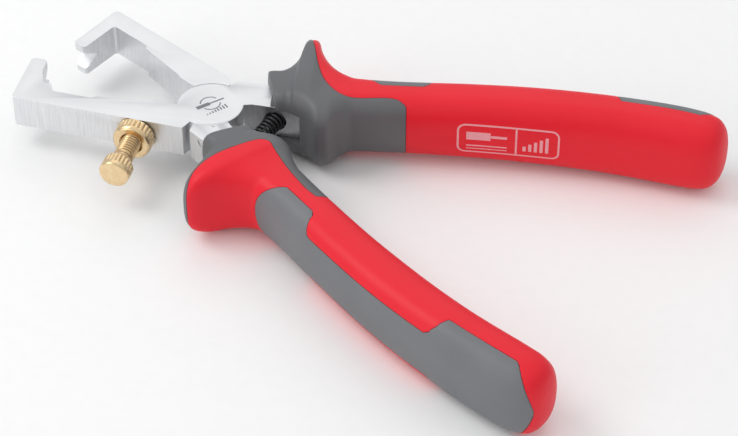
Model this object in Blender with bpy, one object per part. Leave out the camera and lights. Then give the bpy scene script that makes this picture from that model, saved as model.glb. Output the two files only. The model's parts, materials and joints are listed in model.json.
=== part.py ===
"""Front wire stripper, 160 mm size: two forged levers on a lap joint, brass adjusting screw
with a lock nut, opening spring and two-colour moulded handles.

Sizes are in millimetres and turned into metres when a mesh is finished. The outlines are drawn
with z = 0 at the middle of the steel; the finished model has z = 0 at the joint's underside, with
the pivot axis on the world's Z axis. The jaws point along -X and the handles along +X, at the
open position that the spring gives. The root lever has the lower jaw (-Y) and the upper handle
(+Y); the other lever is its mirror image about the XZ plane, apart from its hook.
"""
import math

import bmesh
import bpy
from mathutils import Matrix, Vector

MM = 0.001

# Steel
STEEL_THICK = 8.0
HALF_STEEL = STEEL_THICK / 2
LAP_RADIUS = 7.4
GAP = 0.3
LAP_GAP = 0.3
RIVET_RADIUS = 2.5
RIVET_TOP = 3.0
ARM_ANGLE = math.radians(13.67)      # outer edge of a jaw arm from the X axis, jaws open
SHOULDER = (-0.5, 10.5)              # where that edge ends beside the lap disc
NECK_ANGLE = math.radians(16.5)
NECK_HALF = 4.05
NECK_START = (5.7, 8.0)
TANG_END_X = 76.0
TANG_END_HALF = 2.2

# Adjusting screw, on an axis across the lower jaw arm
SCREW_ALONG = 11.7
SCREW_RADIUS = 2.35
SCREW_HOLE_RADIUS = 2.7
SCREW_TIP = 8.6
NUT_RADIUS = 4.6
NUT_THICK = 3.7
HEAD_NECK = -9.8
HEAD_FRONT = -15.7
HEAD_RADIUS = 3.55

# Opening spring, across the two tangs
SPRING_X = 13.6
SPRING_HALF_LENGTH = 8.6
SPRING_MEAN_RADIUS = 1.8
SPRING_WIRE = 0.8
SPRING_TURNS = 13
SPRING_POCKET_RADIUS = 2.6
SPRING_POCKET_FLOOR = 8.9

# Handles: centreline of the upper one as a Bezier curve, and sections along it
GRIP_LINE = ((8.0, 8.7), (38.0, 19.5), (66.0, 39.5), (110.0, 45.6))
# x on the centreline, outer half width, inner half width, half thickness, squareness
COLLAR_SECTIONS = (
    (8.7, 5.6, 5.2, 7.6, 4.6),       # front lip
    (9.4, 6.1, 5.6, 8.2, 5.0),
    (12.0, 6.4, 5.9, 8.4, 4.8),
)
UPPER_GUARD_SECTIONS = (
    (13.4, 7.8, 6.0, 8.5, 4.2),      # front face of the thumb guard
    (14.7, 10.4, 6.2, 8.7, 3.8),
    (15.6, 14.2, 6.4, 9.1, 3.6),
    (15.9, 18.0, 6.6, 9.6, 3.5),
    (16.3, 20.4, 6.8, 9.8, 3.5),
    (17.3, 20.9, 7.4, 9.8, 3.5),     # crest
    (18.9, 20.4, 8.4, 9.8, 3.5),
    (20.0, 16.6, 9.8, 9.6, 3.5),
    (21.6, 12.6, 11.6, 9.2, 3.7),    # small finger guard on the inner side
    (23.6, 9.4, 11.6, 8.9, 3.7),
    (25.4, 7.8, 9.0, 8.5, 3.5),
)
LOWER_GUARD_SECTIONS = (
    (13.6, 7.6, 6.0, 8.5, 4.2),
    (14.8, 11.0, 6.2, 8.8, 3.8),
    (16.2, 14.8, 6.8, 9.2, 3.5),
    (17.6, 17.4, 7.9, 9.5, 3.5),
    (19.0, 18.6, 8.8, 9.7, 3.5),
    (20.3, 18.7, 9.1, 9.7, 3.5),     # crest
    (21.5, 17.5, 9.0, 9.5, 3.5),
    (22.8, 13.8, 8.5, 9.1, 3.5),
    (24.6, 10.4, 7.6, 8.7, 3.5),
    (26.6, 7.8, 6.9, 8.4, 3.4),
)
SHAFT_SECTIONS = (
    (28.5, 6.5, 6.6, 8.3, 3.0),
    (38.0, 6.2, 6.5, 8.3, 2.8),
    (52.0, 6.4, 6.4, 8.6, 2.8),
    (68.0, 6.6, 6.6, 8.9, 2.8),
    (84.0, 6.6, 6.6, 9.2, 2.8),
    (97.0, 6.7, 6.7, 9.5, 2.8),
    (103.5, 6.5, 6.6, 9.3, 2.8),
    (107.2, 5.4, 5.8, 8.2, 2.6),
    (109.2, 3.2, 3.8, 5.6, 2.4),
)
COLLAR_SLANT = 0.36                  # how far the collar's front runs back per mm towards its inner side
SLANT_LENGTH = 6.5                   # how far behind the lip the sections are square again
RING_POINTS = 16

# Grey core: a bar round the tang, and the front of the handle
CORE_BAR = ((11.0, 5.0), (22.0, 4.9), (28.0, 4.2), (34.0, 3.9), (50.0, 3.9), (68.0, 3.9))
CORE_HALF_THICK = 5.5
CORE_END_X = 84.0
BAR_SQUARENESS = 3.0
UPPER_SPLIT = ((8.0, 33.0), (10.6, 28.8), (13.3, 25.2), (17.5, 19.6), (21.5, 15.6), (26.0, 13.6),
               (30.0, 14.2), (37.0, 17.9), (40.4, 18.4), (42.4, 16.6), (46.5, 5.0))
LOWER_SPLIT = ((14.8, 33.0), (13.6, 28.5), (13.5, 24.5), (15.0, 19.0), (19.2, 12.0), (22.0, 10.4),
               (25.0, 12.0), (33.0, 17.0), (38.6, 19.8), (41.6, 19.0), (46.5, 6.0))
SPRING_WINDOW_X = 19.0

# Grey inlay in the palm side of each handle
INLAY_DEPTH = 1.1
INLAY_ENDS = (28.9, 108.6)
INLAY_WAIST = (46.5, 82.0)
INLAY_WIDE = 0.975                   # half height at the ends and at the waist, as a share of
INLAY_NARROW = 0.66                  # the handle's half thickness


def empty_scene():
    for obj in list(bpy.data.objects):
        bpy.data.objects.remove(obj, do_unlink=True)


def new_collection(name):
    group = bpy.data.collections.new(name)
    bpy.context.scene.collection.children.link(group)
    return group


def new_material(name, colour, roughness, metallic):
    material = bpy.data.materials.new(name)
    material.use_nodes = True
    shader = material.node_tree.nodes["Principled BSDF"]
    shader.inputs["Base Color"].default_value = (*colour, 1.0)
    shader.inputs["Roughness"].default_value = roughness
    shader.inputs["Metallic"].default_value = metallic
    return material


def finish_mesh(name, bm):
    """Turn a bmesh in millimetres into an object in metres, standing on the joint's underside."""
    bmesh.ops.remove_doubles(bm, verts=bm.verts, dist=0.001)
    bmesh.ops.recalc_face_normals(bm, faces=bm.faces)
    bmesh.ops.transform(bm, matrix=Matrix.Translation((0, 0, HALF_STEEL)), verts=bm.verts)
    bmesh.ops.transform(bm, matrix=Matrix.Scale(MM, 4), verts=bm.verts)
    mesh = bpy.data.meshes.new(name)
    bm.to_mesh(mesh)
    bm.free()
    return bpy.data.objects.new(name, mesh)


def prism(name, outline, low, high):
    """A flat outline, given as a closed list of points, with a thickness from low to high."""
    curve = bpy.data.curves.new(name, "CURVE")
    curve.dimensions = "2D"
    curve.fill_mode = "BOTH"
    curve.extrude = (high - low) / 2
    spline = curve.splines.new("POLY")
    spline.points.add(len(outline) - 1)
    for point, (x, y) in zip(spline.points, outline):
        point.co = (x, y, 0.0, 1.0)
    spline.use_cyclic_u = True
    flat = bpy.data.objects.new(name + "_outline", curve)
    bpy.context.scene.collection.objects.link(flat)
    flat.location.z = (high + low) / 2
    bpy.context.view_layer.update()
    seen = flat.evaluated_get(bpy.context.evaluated_depsgraph_get())
    mesh = bpy.data.meshes.new_from_object(seen)
    bm = bmesh.new()
    bm.from_mesh(mesh)
    bm.transform(flat.matrix_world)
    bpy.data.meshes.remove(mesh)
    bpy.data.objects.remove(flat, do_unlink=True)
    bmesh.ops.remove_doubles(bm, verts=bm.verts, dist=0.001)
    return finish_mesh(name, bm)


def turned(name, profile, matrix, segments=32):
    """A closed turned piece: (height, radius) pairs round the local Z axis, placed by matrix."""
    return fluted(name, profile, matrix, segments, 0.0)


def fluted(name, profile, matrix, segments, depth):
    """A turned piece with knurl grooves: every second point of a ring lies deeper.

    The profile's pairs are (height, radius), or (height, radius, 1) where the ring is grooved.
    """
    bm = bmesh.new()
    rings = []
    for height, radius, *grooved in profile:
        ring = []
        for i in range(segments):
            turn = 2 * math.pi * i / segments
            r = radius - depth if grooved and i % 2 else radius
            ring.append(bm.verts.new(matrix @ Vector((r * math.cos(turn), r * math.sin(turn), height))))
        rings.append(ring)
    skin_rings(bm, rings)
    return finish_mesh(name, bm)


def skin_rings(bm, rings):
    """Quads between rings that follow each other, and a face on each end."""
    count = len(rings[0])
    for first, second in zip(rings, rings[1:]):
        for i in range(count):
            j = (i + 1) % count
            bm.faces.new((first[i], first[j], second[j], second[i]))
    bm.faces.new(rings[0])
    bm.faces.new(rings[-1])


def loft(name, sections):
    """A solid skinned over sections, each a list of as many points."""
    bm = bmesh.new()
    skin_rings(bm, [[bm.verts.new(point) for point in ring] for ring in sections])
    return finish_mesh(name, bm)


def boolean(obj, cutter, operation):
    modifier = obj.modifiers.new(operation.lower() + "_" + cutter.name, "BOOLEAN")
    modifier.operation = operation
    modifier.object = cutter
    modifier.solver = "EXACT"


def put(obj, group, material=None):
    group.objects.link(obj)
    if material:
        obj.data.materials.append(material)
    else:
        obj.hide_render = True
        obj.display_type = "WIRE"
    return obj


def arc(centre, radius, start, end, steps):
    """Points on an arc, angles in degrees, both ends included."""
    points = []
    for i in range(steps + 1):
        turn = math.radians(start + (end - start) * i / steps)
        points.append((centre[0] + radius * math.cos(turn), centre[1] + radius * math.sin(turn)))
    return points


def circle(centre, radius, steps=48):
    return arc(centre, radius, 0, 360 - 360 / steps, steps - 1)


def mirrored(points, side):
    """The same outline for the upper half (side 1) or the lower half (side -1)."""
    return [(x, y * side) for x, y in points]


# Jaw arms -------------------------------------------------------------------------------------

def on_arm(along, inward):
    """A point on the lower jaw arm: along its outer edge from the shoulder, and in from that edge."""
    c, s = math.cos(ARM_ANGLE), math.sin(ARM_ANGLE)
    return (SHOULDER[0] - along * c - inward * s, -SHOULDER[1] - along * s + inward * c)


def arm_inner_edge():
    """The stepped inner edge from the hook's corner to the lap disc."""
    return [(24.4, 4.8), (23.3, 5.8), (10.4, 7.5), (9.6, 7.9), (4.0, 8.05), (-2.0, 11.0)]


def lower_arm_outline():
    hook = [(0.5, 0.0), (41.4, 0.0), (42.1, 0.3), (42.4, 1.0), (43.2, 14.9), (42.6, 15.6),
            (39.9, 15.6), (39.4, 15.1), (39.0, 11.3), (37.2, 7.3), (35.2, 7.3), (33.9, 4.8)]
    heel = [(-3.0, 9.0), (-0.6, 2.9)]
    return [on_arm(u, v) for u, v in hook + arm_inner_edge() + heel]


def upper_arm_outline():
    hook = [(1.2, 0.0), (38.9, 0.0), (39.7, 0.3), (39.9, 1.2), (38.3, 13.0), (38.2, 15.1),
            (37.7, 15.6), (34.9, 15.6), (34.5, 15.1), (35.6, 5.3), (35.1, 4.8)]
    heel = [(-3.0, 9.0), (-0.9, 1.6)]
    return mirrored([on_arm(u, v) for u, v in hook + arm_inner_edge() + heel], -1)


def notch_cutter(name, side, outer, inner, deep_outside):
    """A V cut into a hook's end, widening from its cutting side to its bevelled side.

    outer and inner are the ends of the cut along the arm; the V's depth and half height are
    small at the cutting edge and large on the bevelled side.
    """
    small, large = (2.6, 1.9), (5.2, 2.5)
    ends = ((outer, large), (inner, small)) if deep_outside else ((outer, small), (inner, large))
    sections = []
    for along, (depth, half) in ends:
        flare = half * 2.0 / depth
        ring = []
        for inward, height in ((15.6 - depth, 0.0), (17.6, half + flare), (17.6, -half - flare)):
            x, y = on_arm(along, inward)
            ring.append(Vector((x, y * side, height)))
        sections.append(ring)
    return loft(name, sections)


# Necks and tangs ------------------------------------------------------------------------------

def neck_point(along, across):
    c, s = math.cos(NECK_ANGLE), math.sin(NECK_ANGLE)
    return (NECK_START[0] + along * c - across * s, NECK_START[1] + along * s + across * c)


def tang_outline():
    """Neck and tang of the upper handle: the neck's flat sides run into a tapering tang."""
    outer = [(0.1, 7.5), (1.1, 10.7)]
    outer += [neck_point(4.0, NECK_HALF), neck_point(11.0, NECK_HALF)]
    outer += [grip_point(32.0, 3.0), grip_point(54.0, 2.6), grip_point(TANG_END_X, TANG_END_HALF)]
    inner = [grip_point(TANG_END_X, -TANG_END_HALF), grip_point(54.0, -2.6), grip_point(32.0, -3.0)]
    inner += [neck_point(16.0, -NECK_HALF), neck_point(1.6, -NECK_HALF), (4.8, 2.0), (0.0, 4.0)]
    return outer + inner


def tang_pocket_outline():
    """The hole for the tang in a handle's core, one gap wider than the tang all round."""
    wide = NECK_HALF + GAP
    outer = [neck_point(-2.0, wide), neck_point(11.0, wide)]
    outer += [grip_point(32.0, 3.0 + GAP), grip_point(54.0, 2.6 + GAP)]
    outer += [grip_point(TANG_END_X + GAP, TANG_END_HALF + GAP)]
    inner = [grip_point(TANG_END_X + GAP, -TANG_END_HALF - GAP)]
    inner += [grip_point(54.0, -2.6 - GAP), grip_point(32.0, -3.0 - GAP)]
    inner += [neck_point(16.0, -wide), neck_point(-2.0, -wide)]
    return outer + inner


# Handle shape ---------------------------------------------------------------------------------

def bezier(points, t):
    weights = ((1 - t) ** 3, 3 * t * (1 - t) ** 2, 3 * t * t * (1 - t), t ** 3)
    return [sum(w * p[i] for w, p in zip(weights, points)) for i in (0, 1)]


def grip_frame(x):
    """Point and outward normal of the upper handle's centreline at a given x."""
    low, high = 0.0, 1.0
    for _ in range(40):
        t = (low + high) / 2
        if bezier(GRIP_LINE, t)[0] < x:
            low = t
        else:
            high = t
    before, after = bezier(GRIP_LINE, t - 0.001), bezier(GRIP_LINE, t + 0.001)
    run = Vector((after[0] - before[0], after[1] - before[1])).normalized()
    return bezier(GRIP_LINE, t), (-run.y, run.x)


def grip_point(x, across):
    """A point beside the centreline: across is positive towards the palm side."""
    (px, py), (nx, ny) = grip_frame(x)
    return (px + nx * across, py + ny * across)


def grip_sections(side):
    guard = UPPER_GUARD_SECTIONS if side > 0 else LOWER_GUARD_SECTIONS
    return COLLAR_SECTIONS + guard + SHAFT_SECTIONS


def grip_size(x, side):
    """Outer and inner half width, half thickness and squareness at x, between given sections."""
    sections = grip_sections(side)
    for first, second in zip(sections, sections[1:]):
        if x <= second[0]:
            part = (x - first[0]) / (second[0] - first[0])
            return [a + (b - a) * part for a, b in zip(first[1:], second[1:])]
    return list(sections[-1][1:])


def oval_point(x, side, turn, size):
    """A point on a rounded-rectangle section; turn 0 is the palm side."""
    outer, inner, thick, square = size
    c, s = math.cos(turn), math.sin(turn)
    wide = math.copysign(abs(c) ** (2 / square), c) * (outer if c > 0 else inner)
    high = math.copysign(abs(s) ** (2 / square), s) * thick
    px, py = grip_point(x, wide)
    return Vector((px, py * side, high))


def oval_ring(x, side, size):
    turns = [2 * math.pi * (i + 0.5) / RING_POINTS for i in range(RING_POINTS)]
    return [oval_point(x, side, turn, size) for turn in turns]


def slanted(ring, x, side):
    """Move a ring of the collar back along the handle, more at its inner side than outside."""
    centre, (nx, ny) = grip_frame(x)
    share = max(0.0, 1 - (x - COLLAR_SECTIONS[0][0]) / SLANT_LENGTH)
    moved = []
    for point in ring:
        across = (point.x - centre[0]) * nx + (point.y * side - centre[1]) * ny
        back = COLLAR_SLANT * share * (COLLAR_SECTIONS[0][1] - across)
        moved.append(point + Vector((ny * back, -nx * back * side, 0.0)))
    return moved


def whole_handle(name, side):
    rings = [slanted(oval_ring(x, side, size), x, side) for x, *size in grip_sections(side)]
    return loft(name, rings)


def core_bar(name, side, spare):
    """The bar of the core round the tang; it starts inside the collar."""
    places = CORE_BAR + ((CORE_END_X - 2.0 + spare, 3.9), (CORE_END_X + spare, 3.2))
    sections = []
    for x, half in places:
        thick = CORE_HALF_THICK * min(1.0, half / 3.9) + spare
        sections.append(oval_ring(x, side, (half + spare, half + spare, thick, BAR_SQUARENESS)))
    return loft(name, sections)


def beside(line, distance):
    """The same open line, moved to its left by a distance."""
    moved = []
    for i, (x, y) in enumerate(line):
        back, ahead = line[max(i - 1, 0)], line[min(i + 1, len(line) - 1)]
        run = Vector((ahead[0] - back[0], ahead[1] - back[1])).normalized()
        moved.append((x - run.y * distance, y + run.x * distance))
    return moved


def front_region(name, side, split, spare):
    """Everything in front of and inside the line where the red meets the grey."""
    around = [(46.0, -8.0), (0.0, -8.0), (0.0, 33.0)]
    return prism(name, mirrored(beside(split, spare) + around, side), -12.0, 12.0)


def inlay_share(x):
    """Half height of the palm inlay: wide round ends and a narrower waist."""
    start, end = INLAY_ENDS
    front, rear = INLAY_WAIST
    if x < front - 3.0:
        return INLAY_WIDE * math.sqrt(max(0.1, 1 - max(0.0, (start + 5 - x) / 5) ** 2))
    if x > rear + 3.0:
        return INLAY_WIDE * math.sqrt(max(0.1, 1 - max(0.0, (x - end + 6) / 6) ** 2))
    near = max(0.0, front - x, x - rear) / 3.0
    return INLAY_NARROW + (INLAY_WIDE - INLAY_NARROW) * near


def inlay_region(name, side, spare):
    """A block that follows the palm side, INLAY_DEPTH under the handle's surface."""
    start, end = INLAY_ENDS
    front, rear = INLAY_WAIST
    places = [start, start + 1, start + 2.5, start + 5, 39.0, front - 3, front - 1.5, front, 55.0, 64.0,
              73.0, rear, rear + 1.5, rear + 3, 91.0, 97.0, end - 6, end - 3.5, end - 1.5, end]
    sections = []
    for x in places:
        at = x + spare * (1 if x == end else -1 if x == start else 0)
        outer, _, thick, square = grip_size(x, side)
        share = max(inlay_share(near) for near in (x - spare, x, x + spare))
        spread = math.asin(share ** (square / 2)) + spare / thick
        under = (outer - INLAY_DEPTH - spare, 1.0, thick - INLAY_DEPTH - spare, square)
        over = (outer + 4.0, 1.0, thick + 4.0, square)
        turns = [spread * (i / 3 - 1) for i in range(7)]
        ring = [oval_point(at, side, turn, under) for turn in turns]
        ring += [oval_point(at, side, turn, over) for turn in reversed(turns)]
        sections.append(ring)
    return loft(name, sections)


# Sub-parts ------------------------------------------------------------------------------------

def lever(name, side, arm_outline, lap, parts, cutters, material):
    """A forged half: jaw arm, lap disc on the top (lap 1) or underneath (lap -1), neck and tang."""
    body = put(prism(name, arm_outline, -HALF_STEEL, HALF_STEEL), parts, material)
    tang = prism(name + "_tang", mirrored(tang_outline(), side), -HALF_STEEL, HALF_STEEL)
    boolean(body, put(tang, cutters), "UNION")
    other_low, other_high = sorted((-6.0 * lap, LAP_GAP / 2 * lap))
    room = prism(name + "_lap_room", circle((0, 0), LAP_RADIUS + GAP + 0.1), other_low, other_high)
    boolean(body, put(room, cutters), "DIFFERENCE")
    low, high = sorted((LAP_GAP / 2 * lap, HALF_STEEL * lap))
    disc = prism(name + "_lap_disc", circle((0, 0), LAP_RADIUS), low, high)
    boolean(body, put(disc, cutters), "UNION")
    hole = prism(name + "_rivet_hole", circle((0, 0), RIVET_RADIUS + GAP, 24), -6.0, RIVET_TOP + GAP)
    boolean(body, put(hole, cutters), "DIFFERENCE")
    pocket = turned(name + "_spring_pocket", [(0.0, SPRING_POCKET_RADIUS), (9.0, SPRING_POCKET_RADIUS)],
                    spring_axis(side, SPRING_POCKET_FLOOR) @ Matrix.Rotation(math.pi, 4, "X"), 24)
    boolean(body, put(pocket, cutters), "DIFFERENCE")
    return body


def spring_axis(side, distance):
    """Local +Z along +Y (side 1) or -Y, at a distance from the XZ plane."""
    turn = -math.pi / 2 if side > 0 else math.pi / 2
    return Matrix.Translation((SPRING_X, side * distance, 0)) @ Matrix.Rotation(turn, 4, "X")


def screw_axis():
    """Local +Z from the lower arm's outer edge through the arm, with 0 on that edge."""
    x, y = on_arm(SCREW_ALONG, 0.0)
    return Matrix.Translation((x, y, 0)) @ Matrix.Rotation(ARM_ANGLE, 4, "Z") \
        @ Matrix.Rotation(-math.pi / 2, 4, "X")


def lower_jaw_lever(parts, cutters, steel):
    body = lever("lower_jaw_lever", 1, lower_arm_outline(), 1, parts, cutters, steel)
    hole = turned("screw_hole", [(-3.0, SCREW_HOLE_RADIUS), (12.0, SCREW_HOLE_RADIUS)], screw_axis(), 24)
    boolean(body, put(hole, cutters), "DIFFERENCE")
    notch = notch_cutter("lower_notch", 1, 45.0, 38.4, True)
    boolean(body, put(notch, cutters), "DIFFERENCE")


def upper_jaw_lever(parts, cutters, steel):
    body = lever("upper_jaw_lever", -1, upper_arm_outline(), -1, parts, cutters, steel)
    notch = notch_cutter("upper_notch", -1, 39.0, 33.6, False)
    boolean(body, put(notch, cutters), "DIFFERENCE")


def pivot_rivet(parts, steel):
    put(prism("pivot_rivet", circle((0, 0), RIVET_RADIUS, 24), -HALF_STEEL, RIVET_TOP), parts, steel)


def adjusting_screw(parts, brass):
    shank = [(HEAD_NECK + GAP, SCREW_RADIUS), (SCREW_TIP - 0.5, SCREW_RADIUS),
             (SCREW_TIP, SCREW_RADIUS - 0.5)]
    put(turned("adjusting_screw", shank, screw_axis(), 32), parts, brass)
    head = [(HEAD_NECK, SCREW_RADIUS), (HEAD_NECK - 1.3, 2.6), (HEAD_NECK - 2.6, HEAD_RADIUS, 1),
            (HEAD_FRONT + 0.8, HEAD_RADIUS, 1), (HEAD_FRONT + 0.25, HEAD_RADIUS - 0.45),
            (HEAD_FRONT, HEAD_RADIUS - 1.1)]
    put(fluted("screw_head", head, screw_axis(), 48, 0.22), parts, brass)


def lock_nut(parts, cutters, brass):
    top, bottom = -GAP, -GAP - NUT_THICK
    body = [(top, NUT_RADIUS - 0.4), (top - 0.4, NUT_RADIUS, 1), (bottom + 0.8, NUT_RADIUS, 1),
            (bottom, NUT_RADIUS - 0.8)]
    nut = put(fluted("lock_nut", body, screw_axis(), 48, 0.22), parts, brass)
    bore = turned("nut_bore", [(1.0, SCREW_HOLE_RADIUS), (bottom + 0.9, SCREW_HOLE_RADIUS),
                               (bottom - 0.4, SCREW_HOLE_RADIUS + 1.1)], screw_axis(), 24)
    boolean(nut, put(bore, cutters), "DIFFERENCE")


def opening_spring(parts, black):
    """A compression coil on the Y axis direction, with its ends in the pockets of both tangs."""
    per_turn = 10
    curve = bpy.data.curves.new("opening_spring", "CURVE")
    curve.dimensions = "3D"
    curve.bevel_depth = SPRING_WIRE / 2
    curve.bevel_resolution = 2
    curve.use_fill_caps = True
    spline = curve.splines.new("POLY")
    count = SPRING_TURNS * per_turn
    reach = 2 * (SPRING_HALF_LENGTH - SPRING_WIRE / 2)
    spline.points.add(count)
    for i, point in enumerate(spline.points):
        turn = 2 * math.pi * i / per_turn
        x = SPRING_X + SPRING_MEAN_RADIUS * math.cos(turn)
        y = -reach / 2 + reach * i / count
        point.co = (x, y, SPRING_MEAN_RADIUS * math.sin(turn), 1.0)
    wire = bpy.data.objects.new("opening_spring_wire", curve)
    bpy.context.scene.collection.objects.link(wire)
    bpy.context.view_layer.update()
    mesh = bpy.data.meshes.new_from_object(wire.evaluated_get(bpy.context.evaluated_depsgraph_get()))
    bm = bmesh.new()
    bm.from_mesh(mesh)
    bpy.data.meshes.remove(mesh)
    bpy.data.objects.remove(wire, do_unlink=True)
    put(finish_mesh("opening_spring", bm), parts, black)


def handle(prefix, side, split, parts, cutters, red, grey):
    """Core, grip and palm inlay of one handle, each cut from the same whole shape."""
    front = put(front_region(prefix + "_front_region", side, split, 0.0), cutters)
    core = put(whole_handle(prefix + "_handle_core", side), parts, grey)
    boolean(core, front, "INTERSECT")
    boolean(core, put(core_bar(prefix + "_core_bar", side, 0.0), cutters), "UNION")
    pocket = prism(prefix + "_tang_pocket", mirrored(tang_pocket_outline(), side),
                   -HALF_STEEL - GAP, HALF_STEEL + GAP)
    boolean(core, put(pocket, cutters), "DIFFERENCE")
    corners = [neck_point(-4.0, -2.0), neck_point(-4.0, -12.0),
               neck_point(SPRING_WINDOW_X - 5.5, -12.0), neck_point(SPRING_WINDOW_X - 5.5, -2.0)]
    window = prism(prefix + "_spring_window", mirrored(corners, side), -HALF_STEEL - GAP, HALF_STEEL + GAP)
    boolean(core, put(window, cutters), "DIFFERENCE")

    grip = put(whole_handle(prefix + "_handle_grip", side), parts, red)
    cleared = put(front_region(prefix + "_cleared_region", side, split, GAP + 0.05), cutters)
    boolean(grip, cleared, "DIFFERENCE")
    boolean(grip, put(core_bar(prefix + "_bar_room", side, GAP), cutters), "DIFFERENCE")
    room = put(inlay_region(prefix + "_inlay_room", side, GAP + 0.1), cutters)
    boolean(grip, room, "DIFFERENCE")

    inlay = put(whole_handle(prefix + "_palm_inlay", side), parts, grey)
    boolean(inlay, put(inlay_region(prefix + "_inlay_region", side, 0.0), cutters), "INTERSECT")


def build():
    empty_scene()
    parts = new_collection("wire_stripper")
    cutters = new_collection("cutters")
    steel = new_material("forged_steel", (0.75, 0.76, 0.77), 0.3, 1.0)
    brass = new_material("turned_brass", (0.76, 0.56, 0.33), 0.3, 1.0)
    black = new_material("black_spring_steel", (0.02, 0.02, 0.02), 0.4, 1.0)
    red = new_material("red_grip_rubber", (0.78, 0.03, 0.05), 0.45, 0.0)
    grey = new_material("grey_core_plastic", (0.1, 0.1, 0.11), 0.5, 0.0)
    lower_jaw_lever(parts, cutters, steel)
    upper_jaw_lever(parts, cutters, steel)
    pivot_rivet(parts, steel)
    adjusting_screw(parts, brass)
    lock_nut(parts, cutters, brass)
    opening_spring(parts, black)
    handle("upper", 1, UPPER_SPLIT, parts, cutters, red, grey)
    handle("lower", -1, LOWER_SPLIT, parts, cutters, red, grey)


build()
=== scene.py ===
"""Front wire stripper, 160 mm size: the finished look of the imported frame.

Shapes are drawn in millimetres with z = 0 at the middle of the steel, like the part itself, and
turned into metres when a mesh is made. The root lever has the lower jaw (-Y) and the upper
handle (+Y); side is 1 for the upper handle and -1 for the lower one.
"""
import json
import math

import bmesh
import bpy
import numpy as np
from mathutils import Matrix, Vector
from mathutils.kdtree import KDTree


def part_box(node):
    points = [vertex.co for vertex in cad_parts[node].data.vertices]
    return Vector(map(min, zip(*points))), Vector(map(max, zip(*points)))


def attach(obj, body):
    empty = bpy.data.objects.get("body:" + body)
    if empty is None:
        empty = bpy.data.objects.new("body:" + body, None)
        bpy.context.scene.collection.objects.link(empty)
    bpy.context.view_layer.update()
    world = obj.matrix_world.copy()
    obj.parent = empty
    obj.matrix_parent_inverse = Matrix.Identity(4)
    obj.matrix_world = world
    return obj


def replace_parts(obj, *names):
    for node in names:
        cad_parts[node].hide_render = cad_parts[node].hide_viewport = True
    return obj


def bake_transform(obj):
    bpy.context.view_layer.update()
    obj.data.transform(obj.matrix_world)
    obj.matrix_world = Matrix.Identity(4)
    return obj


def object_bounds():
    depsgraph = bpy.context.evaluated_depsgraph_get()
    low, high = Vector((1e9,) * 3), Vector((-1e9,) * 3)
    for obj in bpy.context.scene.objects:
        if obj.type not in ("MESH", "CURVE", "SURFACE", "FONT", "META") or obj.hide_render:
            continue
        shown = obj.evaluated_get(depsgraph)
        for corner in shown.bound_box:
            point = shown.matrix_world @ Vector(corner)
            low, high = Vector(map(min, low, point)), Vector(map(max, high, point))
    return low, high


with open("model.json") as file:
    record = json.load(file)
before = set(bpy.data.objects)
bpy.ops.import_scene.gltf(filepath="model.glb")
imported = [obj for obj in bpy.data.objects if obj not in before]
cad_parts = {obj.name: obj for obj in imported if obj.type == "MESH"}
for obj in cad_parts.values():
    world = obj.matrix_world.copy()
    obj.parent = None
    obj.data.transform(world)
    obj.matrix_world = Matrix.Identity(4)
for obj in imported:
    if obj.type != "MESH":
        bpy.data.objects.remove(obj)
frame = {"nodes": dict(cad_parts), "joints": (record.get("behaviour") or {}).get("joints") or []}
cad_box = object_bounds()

MM = 0.001
JOINTS = {joint["name"]: joint for joint in frame["joints"]}
STEEL_LOW, STEEL_HIGH = (corner.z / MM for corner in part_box("lower_jaw_lever"))
HALF_STEEL = (STEEL_HIGH - STEEL_LOW) / 2
MIDDLE = Matrix.Translation((0, 0, STEEL_LOW + HALF_STEEL))

# Handles: centreline of the upper one as a Bezier curve, and sections along it
GRIP_LINE = ((8.0, 8.7), (38.0, 19.5), (66.0, 39.5), (110.0, 45.6))
# x on the centreline, outer half width, inner half width, half thickness, squareness
COLLAR_SECTIONS = (
    (8.72, 5.2, 4.9, 7.2, 4.6),      # rounded front lip
    (8.85, 5.6, 5.3, 7.7, 5.0),
    (9.2, 5.9, 5.6, 8.0, 5.0),
    (12.0, 6.3, 5.9, 8.3, 4.8),
)
UPPER_GUARD_SECTIONS = (
    (13.4, 7.7, 6.0, 8.4, 4.2),      # front face of the thumb guard
    (14.7, 10.3, 6.2, 8.6, 3.8),
    (15.6, 14.1, 6.4, 9.0, 3.6),
    (15.9, 17.8, 6.6, 9.4, 3.5),
    (16.2, 20.0, 6.8, 9.6, 3.5),
    (16.9, 20.9, 7.2, 9.6, 3.5),     # crest
    (18.2, 20.8, 8.0, 9.6, 3.5),
    (19.0, 19.9, 8.6, 9.6, 3.5),
    (20.0, 16.4, 9.8, 9.4, 3.5),
    (21.6, 12.4, 11.5, 9.0, 3.7),    # small finger guard on the inner side
    (23.6, 9.3, 11.5, 8.7, 3.7),
    (25.4, 7.8, 9.0, 8.4, 3.5),
)
LOWER_GUARD_SECTIONS = (
    (13.6, 7.6, 6.0, 8.4, 4.2),
    (14.8, 10.9, 6.2, 8.6, 3.8),
    (16.2, 14.7, 6.8, 9.0, 3.5),
    (17.6, 17.3, 7.9, 9.3, 3.5),
    (19.0, 18.4, 8.8, 9.5, 3.5),
    (20.3, 18.6, 9.1, 9.5, 3.5),     # crest
    (21.5, 17.3, 9.0, 9.4, 3.5),
    (22.8, 13.7, 8.5, 9.0, 3.5),
    (24.6, 10.3, 7.6, 8.6, 3.5),
    (26.6, 7.8, 6.9, 8.3, 3.4),
)
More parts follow.
